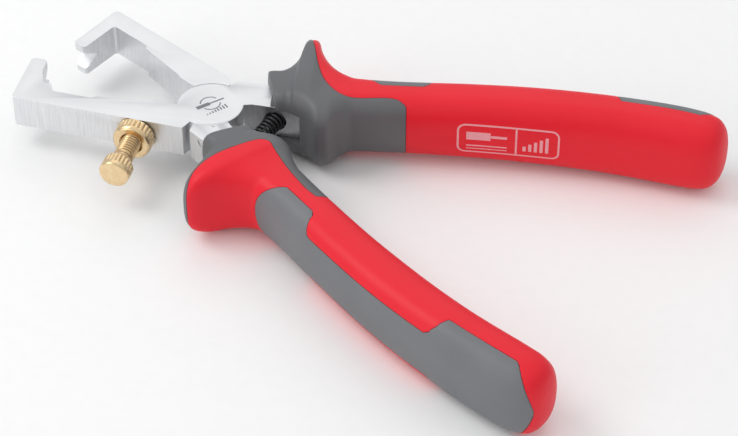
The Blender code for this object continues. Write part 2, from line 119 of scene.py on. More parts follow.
SHAFT_SECTIONS = (
    (28.5, 6.5, 6.6, 8.2, 3.0),
    (38.0, 6.2, 6.5, 8.2, 2.8),
    (52.0, 6.4, 6.4, 8.5, 2.8),
    (68.0, 6.6, 6.6, 8.8, 2.8),
    (84.0, 6.5, 6.6, 9.1, 2.8),
    (97.0, 6.55, 6.7, 9.3, 2.8),
    (103.0, 6.4, 6.6, 9.1, 2.8),
    (106.4, 5.8, 6.1, 8.5, 2.6),
    (108.3, 4.4, 4.8, 6.9, 2.5),
    (109.3, 2.5, 2.8, 4.2, 2.3),
    (109.6, 0.8, 0.9, 1.4, 2.1),     # domed rear end
)
COLLAR_SLANT = 0.36                  # how far the collar's front runs back per mm inwards
SLANT_OUTER = 5.6                    # how far outside the centreline that front starts
SLANT_LENGTH = 6.5                   # how far behind the lip the sections are square again
RING_POINTS = 72
RING_STEP = 0.7                      # along the handle
CLEAR = 12.0                         # a height or depth past every surface of a handle

# Where the red grip meets the grey core, in plan
UPPER_SPLIT = ((8.0, 33.0), (10.6, 28.8), (13.3, 25.2), (17.5, 19.6), (21.5, 15.6), (26.0, 13.6),
               (30.0, 14.2), (37.0, 17.9), (40.4, 18.4), (42.4, 16.6), (46.5, 5.0))
LOWER_SPLIT = ((13.7, 33.0), (12.5, 28.5), (12.4, 24.5), (14.5, 19.0), (19.2, 12.0), (22.0, 10.4),
               (25.0, 12.0), (33.0, 17.0), (38.6, 19.8), (41.6, 19.0), (46.5, 6.0))
PARTING = 0.015                      # half the line between two moulded materials
EDGE_WIDTH, EDGE_DROP = 0.5, 0.06    # how far a moulded edge is eased, and how deep at the edge
OUTWARD_ANGLE, EDGE_STEP = 40, 0.2   # degrees that make a corner an edge, and steps along it in mm

# Steel inside the handles
NECK_ANGLE = math.radians(16.5)
NECK_START = (5.7, 8.0)
NECK_HALF = 4.05
FIT = 0.12                           # the sleeve sits close on the tang
# x on the centreline and half width of the grey bar round the tang, then its half thickness
BAR = ((11.0, 5.0), (22.0, 4.9), (28.0, 4.2), (34.0, 3.9), (68.0, 3.9), (82.0, 3.9), (84.0, 3.2))
BAR_HALF_THICK = 5.5
BAR_FULL = 3.9                       # the bar is thinner where its half width is less than this
BAR_GAP = 0.1                        # between the bar and the red round it
TANG = ((32.0, 3.0), (54.0, 2.6), (76.0, 2.2))
WINDOW_INNER, WINDOW_END = -2.0, 13.5    # the spring's window, across and along the neck

# Palm inlay
INLAY_DEPTH = 1.1
INLAY_ENDS = (28.9, 108.6)
INLAY_ROUND = (5, 6)                 # length of the round front end and of the rear one
INLAY_WAIST = (46.5, 82.0)
WAIST_EASE = 3.0                     # length over which the wide part turns into the waist
INLAY_WIDE, INLAY_NARROW = 0.995, 0.66   # shares of the handle's half thickness
INLAY_GAP = 0.04                     # between the pad and the red round it

# Steel and brass details
FORGED_BEVEL = 0.26
FLAT_ANGLE, EASED_ANGLE = 0.7, 28    # degrees: facets of one face, and edges that get a bevel
PUNCH_MARK, PUNCH_RADIUS, PUNCH_DEPTH = (4.96, -6.64), 0.4, 0.6
# small hook-shaped die mark on the neck beside the lower collar
HOOK_LINE = ((4.1, -11.45, 3.1), (4.3, -11.5, 2.3), (4.9, -11.7, 1.8), (5.8, -12.0, 1.8),
             (6.9, -12.3, 2.3))
HOOK_RADIUS = 0.4
HOOK_FACE = (-0.3, -0.95, 0.0)       # which way the neck's side looks there
SEAT_RADIUS = 7.8                    # of the lap joint's round seat in the other lever
RIM_WIDTH, RIM_GAP = 0.8, 0.12       # from the seat inwards, and left open at the seat
RIM_LOW, RIM_SUNK = 0.25, 0.03       # height of its lower end, and how far under the face it lies
RIM_EASED = 0.08
SCREW_RADIUS, THREAD_PITCH, THREAD_DEPTH = 2.35, 0.8, 0.5
SCREW_TIP, HEAD_NECK, HEAD_FRONT, HEAD_RADIUS = 8.6, -9.8, -15.7, 3.55
NUT_RADIUS, NUT_TOP, NUT_BOTTOM = 4.6, -0.3, -4.0
HEAD_TEETH, HEAD_KNURL, NUT_TEETH, NUT_KNURL = 21, 0.26, 24, 0.3
TOOTH_FLANK = 0.3                    # half width of a knurl's groove, as a share of its pitch
SPRING_X, SPRING_REACH, SPRING_RADIUS, SPRING_WIRE, SPRING_TURNS = 13.6, 8.6, 1.8, 0.8, 13

# Studio, in metres apart from the floor's half width and gap and the lens, in millimetres
FLOOR_HALF, FLOOR_GAP = 2500.0, 0.3
TENT_STRENGTH = 0.82
SOFT_BOX_AIM = (0.03, 0.0, 0.0)
# name, place, diameter and watts
SOFT_BOXES = (("key_box", (-0.5, -0.2, 0.7), 0.5, 2.1),
              ("front_box", (-0.35, -0.75, 0.35), 0.5, 0.9),
              ("rear_box", (-0.3, 0.6, 0.65), 0.7, 0.55))
LENS, SENSOR = 118.41, 36.0
CAMERA_PLACE = (0.24888, -0.36567, 0.35509)
CAMERA_RIGHT = (0.87057, 0.49205, -0.0004)
CAMERA_UP = (-0.32195, 0.57023, 0.75577)
CAMERA_BACK = (0.3721, -0.65782, 0.65483)


# Meshes ---------------------------------------------------------------------------------------

def made(name, bm, material, placed=MIDDLE):
    """An object from a bmesh in millimetres. placed puts it into the frame, also in millimetres."""
    bmesh.ops.recalc_face_normals(bm, faces=bm.faces)
    mesh = bpy.data.meshes.new(name)
    bm.to_mesh(mesh)
    bm.free()
    mesh.transform(Matrix.Scale(MM, 4) @ placed)
    obj = bpy.data.objects.new(name, mesh)
    bpy.context.scene.collection.objects.link(obj)
    if material:
        mesh.materials.append(material)
    return obj


def skinned(rings, closed=False):
    """A bmesh of quads over rings of points; the two ends are capped, or joined where closed."""
    bm = bmesh.new()
    rows = [[bm.verts.new(point) for point in ring] for ring in rings]
    count = len(rows[0])
    pairs = list(zip(rows, rows[1:])) + ([(rows[-1], rows[0])] if closed else [])
    for first, second in pairs:
        for i in range(count):
            j = (i + 1) % count
            bm.faces.new((first[i], first[j], second[j], second[i]))
    if not closed:
        bm.faces.new(rows[0])
        bm.faces.new(rows[-1])
    return bm


def prism(outline, low, high):
    """A bmesh with a flat outline and a thickness."""
    return skinned([[(x, y, z) for x, y in outline] for z in (low, high)])


def shaded(obj, angle=38):
    """Smooth shading, with sharp edges where faces meet at more than an angle."""
    obj.data.shade_smooth()
    obj.data.set_sharp_from_angle(angle=math.radians(angle))
    return obj


def modified(obj):
    """The object's mesh with its modifiers made final."""
    bpy.context.view_layer.update()
    seen = obj.evaluated_get(bpy.context.evaluated_depsgraph_get())
    mesh = bpy.data.meshes.new_from_object(seen)
    obj.modifiers.clear()
    obj.data = mesh
    return obj


def carve(obj, operation, bm, placed=MIDDLE):
    """Cut obj with a shape, join it to obj, or keep what both share."""
    cutter = made(obj.name + "_cutter", bm, None, placed)
    boolean = obj.modifiers.new(operation, "BOOLEAN")
    boolean.operation = operation
    boolean.object = cutter
    boolean.solver = "EXACT"
    modified(obj)
    bpy.data.objects.remove(cutter, do_unlink=True)
    return obj


def moved_in(obj, movement):
    """Move each vertex along its normal by movement(vertex), in metres."""
    bm = bmesh.new()
    bm.from_mesh(obj.data)
    bm.normal_update()
    shifts = [(vertex, vertex.normal * movement(vertex)) for vertex in bm.verts]
    for vertex, shift in shifts:
        vertex.co += shift
    bm.to_mesh(obj.data)
    bm.free()
    return obj


def ease_edges(obj, width=EDGE_WIDTH, drop=EDGE_DROP):
    """Round the moulded edges: points near an outward corner sink a little."""
    bm = bmesh.new()
    bm.from_mesh(obj.data)
    corners = []
    for edge in bm.edges:
        if edge.is_manifold and edge.calc_face_angle_signed(0.0) > math.radians(OUTWARD_ANGLE):
            steps = max(1, round(edge.calc_length() / (EDGE_STEP * MM)))
            first, second = (vertex.co for vertex in edge.verts)
            corners += [first.lerp(second, i / steps) for i in range(steps + 1)]
    bm.free()
    tree = KDTree(len(corners))
    for i, point in enumerate(corners):
        tree.insert(point, i)
    tree.balance()

    def sink(vertex):
        distance = tree.find(vertex.co)[2] / MM
        return -drop * MM * max(0.0, 1 - distance / width) ** 2
    return moved_in(obj, sink)


# Handle shape ---------------------------------------------------------------------------------

def bezier(points, t):
    """The point of a Bezier curve at t."""
    weights = ((1 - t) ** 3, 3 * t * (1 - t) ** 2, 3 * t * t * (1 - t), t ** 3)
    return [sum(w * p[i] for w, p in zip(weights, points)) for i in (0, 1)]


def grip_frame(x):
    """Point and outward normal of the upper handle's centreline at a given x."""
    low, high = 0.0, 1.0
    for _ in range(40):
        t = (low + high) / 2
        if bezier(GRIP_LINE, t)[0] < x:
            low = t
        else:
            high = t
    before, after = bezier(GRIP_LINE, t - 0.001), bezier(GRIP_LINE, t + 0.001)
    run = Vector((after[0] - before[0], after[1] - before[1])).normalized()
    return bezier(GRIP_LINE, t), (-run.y, run.x)


def grip_point(x, across, height=0.0, side=1):
    """A point beside the centreline: across is positive towards the palm side."""
    (px, py), (nx, ny) = grip_frame(x)
    return Vector((px + nx * across, (py + ny * across) * side, height))


def slopes(xs, ys):
    """Slopes for a curve through points that never swings past them."""
    steps = np.diff(xs)
    rises = np.diff(ys) / steps
    inner = np.zeros(len(xs))
    for i in range(1, len(xs) - 1):
        a, b = rises[i - 1], rises[i]
        if a * b > 0:
            w1, w2 = 2 * steps[i] + steps[i - 1], steps[i] + 2 * steps[i - 1]
            inner[i] = (w1 + w2) / (w1 / a + w2 / b)
    inner[0], inner[-1] = rises[0], rises[-1]
    return inner


def smooth_sections(guard):
    """Stations along a handle, with the values and the slopes of its section there."""
    rows = np.array(COLLAR_SECTIONS + guard + SHAFT_SECTIONS)
    places, columns = rows[:, 0], rows[:, 1:].T
    return places, [(values, slopes(places, values)) for values in columns]


SECTIONS = {1: smooth_sections(UPPER_GUARD_SECTIONS), -1: smooth_sections(LOWER_GUARD_SECTIONS)}


def grip_size(x, side):
    """Outer and inner half width, half thickness and squareness at x, on smooth curves."""
    places, curves = SECTIONS[side]
    x = min(max(x, places[0]), places[-1])
    i = min(int(np.searchsorted(places, x, side="right")) - 1, len(places) - 2)
    span = places[i + 1] - places[i]
    t = (x - places[i]) / span
    first, second = 2 * t ** 3 - 3 * t * t + 1, 3 * t * t - 2 * t ** 3
    leaving, coming = (t ** 3 - 2 * t * t + t) * span, (t ** 3 - t * t) * span
    return [first * values[i] + leaving * rise[i] + second * values[i + 1] + coming * rise[i + 1]
            for values, rise in curves]


def section(size, count=RING_POINTS):
    """Evenly spaced (across, height) points on a rounded-rectangle section, from the palm side."""
    outer, inner, thick, square = size
    turn = np.linspace(0, 2 * np.pi, 721)
    c, s = np.cos(turn), np.sin(turn)
    across = np.sign(c) * np.abs(c) ** (2 / square) * np.where(c > 0, outer, inner)
    height = np.sign(s) * np.abs(s) ** (2 / square) * thick
    run = np.concatenate([[0], np.cumsum(np.hypot(np.diff(across), np.diff(height)))])
    wanted = np.linspace(0, run[-1], count, endpoint=False)
    return list(zip(np.interp(wanted, run, across), np.interp(wanted, run, height)))


def grip_ring(x, side, size):
    """One section in its place on a handle."""
    (px, py), (nx, ny) = grip_frame(x)
    return [(px + nx * a, (py + ny * a) * side, h) for a, h in section(size)]


def grip_stations(side):
    """Places along the handle, closer together where the section changes fast."""
    places = []
    rows = SECTIONS[side][0]
    for first, second in zip(rows, rows[1:]):
        steps = max(3, math.ceil((second - first) / RING_STEP))
        places += [first + (second - first) * i / steps for i in range(steps)]
    return places + [rows[-1]]


def slanted(ring, x, side):
    """Move a ring of the collar back along the handle, more at its inner side than outside."""
    (px, py), (nx, ny) = grip_frame(x)
    share = max(0.0, 1 - (x - COLLAR_SECTIONS[0][0]) / SLANT_LENGTH)
    placed = []
    for a, b, height in ring:
        across = (a - px) * nx + (b * side - py) * ny
        back = COLLAR_SLANT * share * (SLANT_OUTER - across)
        placed.append((a + ny * back, b - nx * back * side, height))
    return placed


def whole_handle(side):
    """One handle's outside, from the collar's lip to the domed end."""
    return skinned([slanted(grip_ring(x, side, grip_size(x, side)), x, side)
                    for x in grip_stations(side)])


def smooth_line(points, steps=5):
    """A rounded line through points (Catmull-Rom)."""
    line = []
    padded = [points[0], *points, points[-1]]
    for p0, p1, p2, p3 in zip(padded, padded[1:], padded[2:], padded[3:]):
        for k in range(steps):
            t = k / steps
            line.append(tuple(0.5 * (2 * b + (c - a) * t + (2 * a - 5 * b + 4 * c - d) * t * t
                                     + (3 * b - a - 3 * c + d) * t ** 3)
                              for a, b, c, d in zip(p0, p1, p2, p3)))
    return line + [points[-1]]


def beside(line, distance):
    """The same open line, moved to its left by a distance."""
    placed = []
    for i, (x, y) in enumerate(line):
        back, ahead = line[max(i - 1, 0)], line[min(i + 1, len(line) - 1)]
        run = Vector((ahead[0] - back[0], ahead[1] - back[1])).normalized()
        placed.append((x - run.y * distance, y + run.x * distance))
    return placed


def front_region(side, split, spare):
    """Everything in front of and inside the line where the red meets the grey."""
    inside = [(46.0, -8.0), (0.0, -8.0), (0.0, 33.0)]
    outline = beside(smooth_line(split), spare) + inside
    return prism([(x, y * side) for x, y in outline], -CLEAR, CLEAR)


def core_bar(side, spare):
    """The grey bar round the tang, inside the grip."""
    rings = []
    for x, half in BAR:
        thick = BAR_HALF_THICK * min(1.0, half / BAR_FULL) + spare
        rings.append(grip_ring(x + (spare if x == BAR[-1][0] else 0), side,
                               (half + spare, half + spare, thick, 3.0)))
    return skinned(rings)


def neck_point(along, across):
    """A point in plan on the upper handle's neck, from the middle of its front end."""
    c, s = math.cos(NECK_ANGLE), math.sin(NECK_ANGLE)
    return (NECK_START[0] + along * c - across * s, NECK_START[1] + along * s + across * c)


def tang_room(side):
    """The hole in the sleeve for the steel neck and the tang."""
    wide = NECK_HALF + FIT
    outer = [neck_point(-2.0, wide), neck_point(11.0, wide)]
    outer += [tuple(grip_point(x, half + FIT).xy) for x, half in TANG]
    inner = [tuple(grip_point(x, -half - FIT).xy) for x, half in reversed(TANG)]
    inner += [neck_point(16.0, -wide), neck_point(-2.0, -wide)]
    return prism([(x, y * side) for x, y in outer + inner], -HALF_STEEL - FIT, HALF_STEEL + FIT)


def spring_window(side):
    """The opening through the sleeve's inner side that the spring's end sits in."""
    corners = [neck_point(-4.0, WINDOW_INNER), neck_point(-4.0, -CLEAR),
               neck_point(WINDOW_END, -CLEAR), neck_point(WINDOW_END, WINDOW_INNER)]
    return prism([(x, y * side) for x, y in corners], -HALF_STEEL - FIT, HALF_STEEL + FIT)


def inlay_share(x):
    """Half height of the palm inlay: wide round ends and a narrower waist."""
    start, end = INLAY_ENDS
    front_round, rear_round = INLAY_ROUND
    front, rear = INLAY_WAIST
    least = 0.02                         # keeps a narrow end where the round closes
    if x < front - WAIST_EASE:
        into = max(0.0, (start + front_round - x) / front_round)
        return INLAY_WIDE * math.sqrt(max(least, 1 - into ** 2))
    if x > rear + WAIST_EASE:
        into = max(0.0, (x - end + rear_round) / rear_round)
        return INLAY_WIDE * math.sqrt(max(least, 1 - into ** 2))
    near = max(0.0, front - x, x - rear) / WAIST_EASE
    ease = near * near * (3 - 2 * near)
    return INLAY_NARROW + (INLAY_WIDE - INLAY_NARROW) * ease


def inlay_region(side, spare):
    """A block that follows the palm side, under the handle's surface by the inlay's depth."""
    start, end = INLAY_ENDS
    front_round, rear_round = INLAY_ROUND
    steps = [math.sin(math.radians(turn)) for turn in range(0, 91, 10)]
    places = [start + front_round * (1 - step) for step in reversed(steps)]
    places += np.arange(start + front_round + 1, end - rear_round, 1.0).tolist()
    places += [end - rear_round * (1 - step) for step in steps]
    half_count, above = 4, 4.0           # points each side of the middle, and how far it sticks out
    rings = []
    for x in places:
        at = x + spare * (1 if x == end else -1 if x == start else 0)
        outer, _, thick, square = grip_size(x, side)
        share = max(inlay_share(near) for near in (x - spare, x, x + spare))
        spread = math.asin(share ** (square / 2)) + spare / thick
        ring = []
        for grown, order in ((-INLAY_DEPTH - spare, 1), (above, -1)):
            for i in range(2 * half_count + 1)[::order]:
                turn = spread * (i / half_count - 1)
                c, s = math.cos(turn), math.sin(turn)
                across = c ** (2 / square) * (outer + grown)
                height = math.copysign(abs(s) ** (2 / square), s) * (thick + grown)
                ring.append(grip_point(at, across, height, side))
        rings.append(ring)
    return skinned(rings)


def handle(prefix, body, side, split, finishes):
    """Grey core, red grip and grey palm inlay of one handle, each cut from the same whole shape."""
    core = made(prefix + "_handle_sleeve", whole_handle(side), finishes["core"])
    carve(core, "INTERSECT", front_region(side, split, -PARTING))
    carve(core, "UNION", core_bar(side, 0.0))
    carve(core, "DIFFERENCE", tang_room(side))
    carve(core, "DIFFERENCE", spring_window(side))
    grip = made(prefix + "_handle_red", whole_handle(side), finishes["grip"])
    carve(grip, "DIFFERENCE", front_region(side, split, PARTING))
    carve(grip, "DIFFERENCE", core_bar(side, BAR_GAP))
    carve(grip, "DIFFERENCE", inlay_region(side, INLAY_GAP))
    inlay = made(prefix + "_palm_pad", whole_handle(side), finishes["inlay"])
    carve(inlay, "INTERSECT", inlay_region(side, 0.0))
    rows = ((core, "_handle_core", "grey_core"), (grip, "_handle_grip", "red_grip"),
            (inlay, "_palm_inlay", "grey_inlay"))
    for piece, node, slot in rows:
        ease_edges(piece)
        shaded(piece)
        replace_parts(piece, prefix + node)
        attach(piece, body)


# Steel, brass and spring ----------------------------------------------------------------------

def round_turns(count):
    """Angles evenly spaced round a full turn."""
    return [2 * math.pi * i / count for i in range(count)]


def dimple(x, y, radius, depth):
    """A centre-punch mark in the top face."""
    rings = [[(x + r * math.cos(t), y + r * math.sin(t), z) for t in round_turns(16)]
             for r, z in ((radius * 0.2, HALF_STEEL - depth), (radius, HALF_STEEL + 0.02),
                          (radius, HALF_STEEL + 0.4))]
    return skinned(rings)


def die_groove(points, radius):
    """A tube along a smooth line, sunk into the neck's side face as a forging die leaves it."""
    line = [Vector(point) for point in smooth_line(points)]
    face = Vector(HOOK_FACE)
    rings = []
    for i, centre in enumerate(line):
        run = (line[min(i + 1, len(line) - 1)] - line[max(i - 1, 0)]).normalized()
        over = run.cross(face).normalized()
        rings.append([centre + radius * (face * math.cos(t) + over * math.sin(t))
                      for t in round_turns(12)])
    return skinned(rings)


def forged(name, node, body, material, cuts=()):
    """A steel piece on its CAD solid, with eased edges and the marks of its making."""
    bm = bmesh.new()
    bm.from_mesh(frame["nodes"][node].data)
    bmesh.ops.remove_doubles(bm, verts=bm.verts, dist=0.000001)
    bmesh.ops.dissolve_limit(bm, angle_limit=math.radians(FLAT_ANGLE), verts=bm.verts, edges=bm.edges)
    piece = made(name, bm, material, Matrix.Scale(1 / MM, 4))
    edges = piece.modifiers.new("eased_edges", "BEVEL")
    edges.width = FORGED_BEVEL * MM
    edges.segments = 2
    edges.limit_method = "ANGLE"
    edges.angle_limit = math.radians(EASED_ANGLE)
    modified(piece)
    for cut in cuts:
        carve(piece, "DIFFERENCE", cut)
    shaded(piece, 24)
    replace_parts(piece, node)
    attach(piece, body)


def joint_rim(material):
    """The machined rim of the lap disc, which nearly fills its round seat in the other lever."""
    outer, top = SEAT_RADIUS - RIM_GAP, HALF_STEEL - RIM_SUNK
    inner = SEAT_RADIUS - RIM_WIDTH
    profile = [(RIM_LOW, inner), (top, inner), (top, outer - RIM_EASED), (top - RIM_EASED, outer),
               (RIM_LOW, outer)]
    rim = made("joint_disc_rim", skinned(smooth_rings(profile, 128), closed=True), material)
    shaded(rim)
    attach(rim, "root")


def axis_frame(joint):
    """Local +Z along a joint's axis from its point, in millimetres."""
    axis = Vector(JOINTS[joint]["axis"]).normalized()
    point = Vector(JOINTS[joint]["pos_m"]) / MM
    return Matrix.Translation(point) @ axis.to_track_quat("Z", "Y").to_matrix().to_4x4()


def turned_piece(name, rings, joint, material, closed=False):
    """A piece built round its own Z axis and placed on a joint's axis."""
    obj = made(name, skinned(rings, closed), material, Matrix.Identity(4))
    place = axis_frame(joint)
    place.translation *= MM
    obj.matrix_world = place
    return obj


def ring_at(height, radius_at, count):
    """A ring of points round the axis, with a radius that may change with the turn."""
    return [(radius_at(t) * math.cos(t), radius_at(t) * math.sin(t), height)
            for t in round_turns(count)]


def knurl(radius, teeth, depth):
    """Radius of a straight knurl: rounded teeth between V grooves."""
    def at(turn):
        phase = (turn * teeth / (2 * math.pi)) % 1.0
        return radius - depth * max(0.0, 1 - abs(phase - 0.5) / TOOTH_FLANK)
    return at


def smooth_rings(profile, count):
    """Plain round rings at each height and radius of a profile."""
    return [ring_at(height, (lambda t, r=radius: r), count) for height, radius in profile]


def threaded_shank(material):
    """M5 thread with a 0.8 mm pitch, a plain run by the head and a chamfered tip."""
    plain_run, run_out, chamfer = 0.4, 0.8, 0.7
    flank = 2.6                          # how steeply a thread's flanks rise
    rings = []
    count = 40
    heights = np.arange(HEAD_NECK + 0.1, SCREW_TIP, THREAD_PITCH / 8)
    for height in [*heights, SCREW_TIP]:
        tip = max(0.0, height - SCREW_TIP + chamfer)
        fade = min(1.0, max(0.0, (height - HEAD_NECK - plain_run) / run_out))

        def radius(turn):
            phase = (height / THREAD_PITCH - turn / (2 * math.pi)) % 1.0
            cut = min(1.0, flank * min(phase, 1 - phase))
            return SCREW_RADIUS - THREAD_DEPTH * (1 - cut) * fade - 0.6 * tip
        rings.append(ring_at(height, radius, count))
    shank = turned_piece("screw_thread", rings, "screw_turn", material)
    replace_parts(shaded(shank, 60), "adjusting_screw")
    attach(shank, "screw")


def screw_head(material):
    """Drum with a knurled shoulder, a cone to the shank and a faced, slightly domed end."""
    count = 8 * HEAD_TEETH
    plain = [(HEAD_NECK, SCREW_RADIUS - 0.25), (HEAD_NECK - 0.15, SCREW_RADIUS + 0.02),
             (HEAD_NECK - 0.8, SCREW_RADIUS + 0.1), (HEAD_NECK - 1.4, 2.65), (HEAD_NECK - 1.9, 3.0)]
    rings = smooth_rings(plain, count)
    for height, share in ((-2.2, 0.4), (-2.5, 0.9), (-2.9, 1.0), (-4.2, 1.0), (-4.6, 0.4)):
        wall = knurl(HEAD_RADIUS, HEAD_TEETH, HEAD_KNURL * share)
        rings.append(ring_at(HEAD_NECK + height, wall, count))
    face = [(HEAD_FRONT + 1.1, HEAD_RADIUS), (HEAD_FRONT + 0.5, HEAD_RADIUS - 0.06),
            (HEAD_FRONT + 0.22, HEAD_RADIUS - 0.3), (HEAD_FRONT + 0.08, HEAD_RADIUS - 0.65),
            (HEAD_FRONT + 0.03, 1.9), (HEAD_FRONT, 0.8)]
    rings += smooth_rings(face, count)
    head = turned_piece("screw_knurled_head", rings, "screw_turn", material)
    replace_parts(shaded(head, 32), "screw_head")
    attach(head, "screw_knob")


def lock_nut(material):
    """Round knurled nut: a broad faced end, a narrow countersink and a threaded bore."""
    count = 8 * NUT_TEETH
    inner = SCREW_RADIUS + 0.06
    bore = [(NUT_BOTTOM, NUT_RADIUS - 0.6), (NUT_BOTTOM + 0.01, inner + 0.4),
            (NUT_BOTTOM + 0.5, inner + 0.08), (NUT_BOTTOM + 0.6, inner), (NUT_TOP - 0.3, inner),
            (NUT_TOP, inner + 0.3)]
    rings = smooth_rings(bore, count)
    rings += smooth_rings([(NUT_TOP, NUT_RADIUS - 0.55), (NUT_TOP - 0.12, NUT_RADIUS - 0.2)], count)
    for height, share in ((NUT_TOP - 0.35, 0.3), (NUT_TOP - 0.6, 1.0), (NUT_BOTTOM + 1.2, 1.0),
                          (NUT_BOTTOM + 0.95, 0.3)):
        rings.append(ring_at(height, knurl(NUT_RADIUS, NUT_TEETH, NUT_KNURL * share), count))
    rings += smooth_rings([(NUT_BOTTOM + 0.7, NUT_RADIUS - 0.04), (NUT_BOTTOM + 0.3, NUT_RADIUS - 0.2),
                           (NUT_BOTTOM + 0.08, NUT_RADIUS - 0.48)], count)
    nut = turned_piece("knurled_lock_nut", rings, "nut_turn", material, closed=True)
    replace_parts(shaded(nut, 32), "lock_nut")
    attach(nut, "nut")


def opening_spring(material):
    """Round wire wound to a compression coil."""
    steps, sides = SPRING_TURNS * 28, 12     # rings along the wire, and points round it
    reach = SPRING_REACH - SPRING_WIRE / 2
    centres = []
    for i in range(steps + 1):
        share = i / steps
        turn = 2 * math.pi * SPRING_TURNS * share
        centres.append(Vector((SPRING_X + SPRING_RADIUS * math.cos(turn), reach * (2 * share - 1),
                               SPRING_RADIUS * math.sin(turn))))
    rings = []
    for i, centre in enumerate(centres):
        run = (centres[min(i + 1, steps)] - centres[max(i - 1, 0)]).normalized()
        out = Vector((centre.x - SPRING_X, 0, centre.z)).normalized()
        out = (out - run * out.dot(run)).normalized()
        over = run.cross(out)
        rings.append([centre + SPRING_WIRE / 2 * (out * math.cos(t) + over * math.sin(t))
                      for t in round_turns(sides)])
    coil = made("spring_coil", skinned(rings), material)
    shaded(coil, 50)
    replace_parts(coil, "opening_spring")
    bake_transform(coil)


# Marks ----------------------------------------------------------------------------------------

def bars_mesh(shapes, lift, thick, surface):
    """Thin closed solids laid on a surface: surface(u, v, height) gives the point over (u, v)."""
    bm = bmesh.new()
    for outline in shapes:
        low = [bm.verts.new(surface(u, v, lift)) for u, v in outline]
        high = [bm.verts.new(surface(u, v, lift + thick)) for u, v in outline]
        half = len(outline) // 2
        for i in range(half - 1):
            j = len(outline) - 1 - i
            bm.faces.new((high[i], high[i + 1], high[j - 1], high[j]))
            bm.faces.new((low[j], low[j - 1], low[i + 1], low[i]))
        for i in range(len(outline)):
            k = (i + 1) % len(outline)
            bm.faces.new((low[i], low[k], high[k], high[i]))
    return bm


def stroke(points, width):
    """A line drawn with a width, as an outline that runs out on one side and back on the other."""
    return beside(points, width / 2) + beside(points, -width / 2)[::-1]


def straight(first, second, steps=6):
    """Points on a straight line, its ends included."""
    return [tuple(a + (b - a) * i / steps for a, b in zip(first, second)) for i in range(steps + 1)]


def arc(centre, radius, start, end, steps=18):
    """Points on an arc between two angles in degrees."""
    turns = [math.radians(start + (end - start) * i / steps) for i in range(steps + 1)]
    return [(centre[0] + radius * math.cos(t), centre[1] + radius * math.sin(t)) for t in turns]


def rounded_frame(left, low, right, high, corner, width):
    """Strokes of a rounded rectangle."""
    l, r, b, t = left + corner, right - corner, low + corner, high - corner
    lines = [straight((l, high), (r, high), 14), straight((right, t), (right, b)),
             straight((r, low), (l, low), 14), straight((left, b), (left, t))]
    lines += [arc((r, t), corner, 90, 0, 5), arc((r, b), corner, 0, -90, 5),
              arc((l, b), corner, -90, -180, 5), arc((l, t), corner, 180, 90, 5)]
    return [stroke(line, width) for line in lines]


def disc_etching(material):
    """A plain pictogram on the lap disc: a stripped wire inside two arcs, over a bar scale."""
    tilt = math.radians(62)
    wire, foot = 0.9, -2.6               # heights of the wire and of the scale in the drawing

    def surface(u, v, height):
        x = 0.6 + u * math.cos(tilt) - v * math.sin(tilt)
        y = -0.2 + u * math.sin(tilt) + v * math.cos(tilt)
        return (x, y, HALF_STEEL + height)
    shapes = [stroke(arc((0.0, wire), 2.3, start, start + 130), 0.3) for start in (25, 205)]
    shapes.append(stroke(straight((-3.6, wire), (-0.2, wire)), 1.1))
    shapes.append(stroke(straight((-0.2, wire), (3.6, wire)), 0.42))
    shapes += [stroke(straight((u, foot), (u, foot + 0.35 + 0.16 * i)), 0.36)
               for i, u in enumerate(np.linspace(-2.6, 2.6, 8))]
    mark = made("disc_etching", bars_mesh(shapes, -0.01, 0.02, surface), material)
    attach(mark, "root")


def grip_print(material):
    """A plain frame with a stripped wire, two rules and a bar scale, printed on the inner side."""
    middle, wire = 61.6, 0.9             # x of the print's middle, and the wire's height in it

    def surface(u, v, height):
        x, z = middle + u, v - 0.2
        _, inner, thick, square = grip_size(x, 1)
        across = inner * (1 - abs(z / thick) ** square) ** (1 / square)
        return grip_point(x, -across - height, z)
    shapes = rounded_frame(-11.0, -3.9, 11.0, 3.9, 1.6, 0.42)
    shapes.append(stroke(straight((1.6, -3.6), (1.6, 3.6)), 0.42))
    shapes.append(stroke(straight((-9.2, wire), (-4.0, wire), 8), 2.2))
    shapes.append(stroke(straight((-4.0, wire), (-0.4, wire)), 0.7))
    shapes.append(stroke(straight((-9.2, -1.9), (-0.4, -1.9), 8), 0.35))
    shapes.append(stroke(straight((-9.2, -2.8), (-0.4, -2.8), 8), 0.25))
    shapes += [stroke(straight((3.4 + 1.25 * i, -2.4), (3.4 + 1.25 * i, -1.0 + 0.75 * i)), 0.7)
               for i in range(5)]
    mark = made("grip_print", bars_mesh(shapes, 0.0, 0.03, surface), material)
    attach(mark, "root")


# Finishes -------------------------------------------------------------------------------------

def linear(code):
    """An sRGB hex colour as linear RGBA."""
    parts = [int(code[i:i + 2], 16) / 255 for i in (0, 2, 4)]
    return tuple(p / 12.92 if p <= 0.04045 else ((p + 0.055) / 1.055) ** 2.4 for p in parts) + (1.0,)


def node(tree, kind, inputs=None, **settings):
    """Add a node with its settings; each input, by name or number, gets a value or a link."""
    added = tree.nodes.new("ShaderNode" + kind)
    for name, value in settings.items():
        setattr(added, name, value)
    for name, value in (inputs or {}).items():
        if isinstance(value, bpy.types.NodeSocket):
            tree.links.new(value, added.inputs[name])
        else:
            added.inputs[name].default_value = value
    return added


def finish(name, **fixed):
    """A material with its shader, and the object's own coordinates in millimetres."""
    material = bpy.data.materials.new(name)
    material.use_nodes = True
    tree = material.node_tree
    shader = tree.nodes["Principled BSDF"]
    for socket, value in fixed.items():
        shader.inputs[socket.replace("_", " ")].default_value = value
    place = node(tree, "TexCoord").outputs["Object"]
    millimetres = node(tree, "VectorMath", {0: place, 1: (1000, 1000, 1000)}, operation="MULTIPLY")
    return material, tree, shader, millimetres.outputs[0]


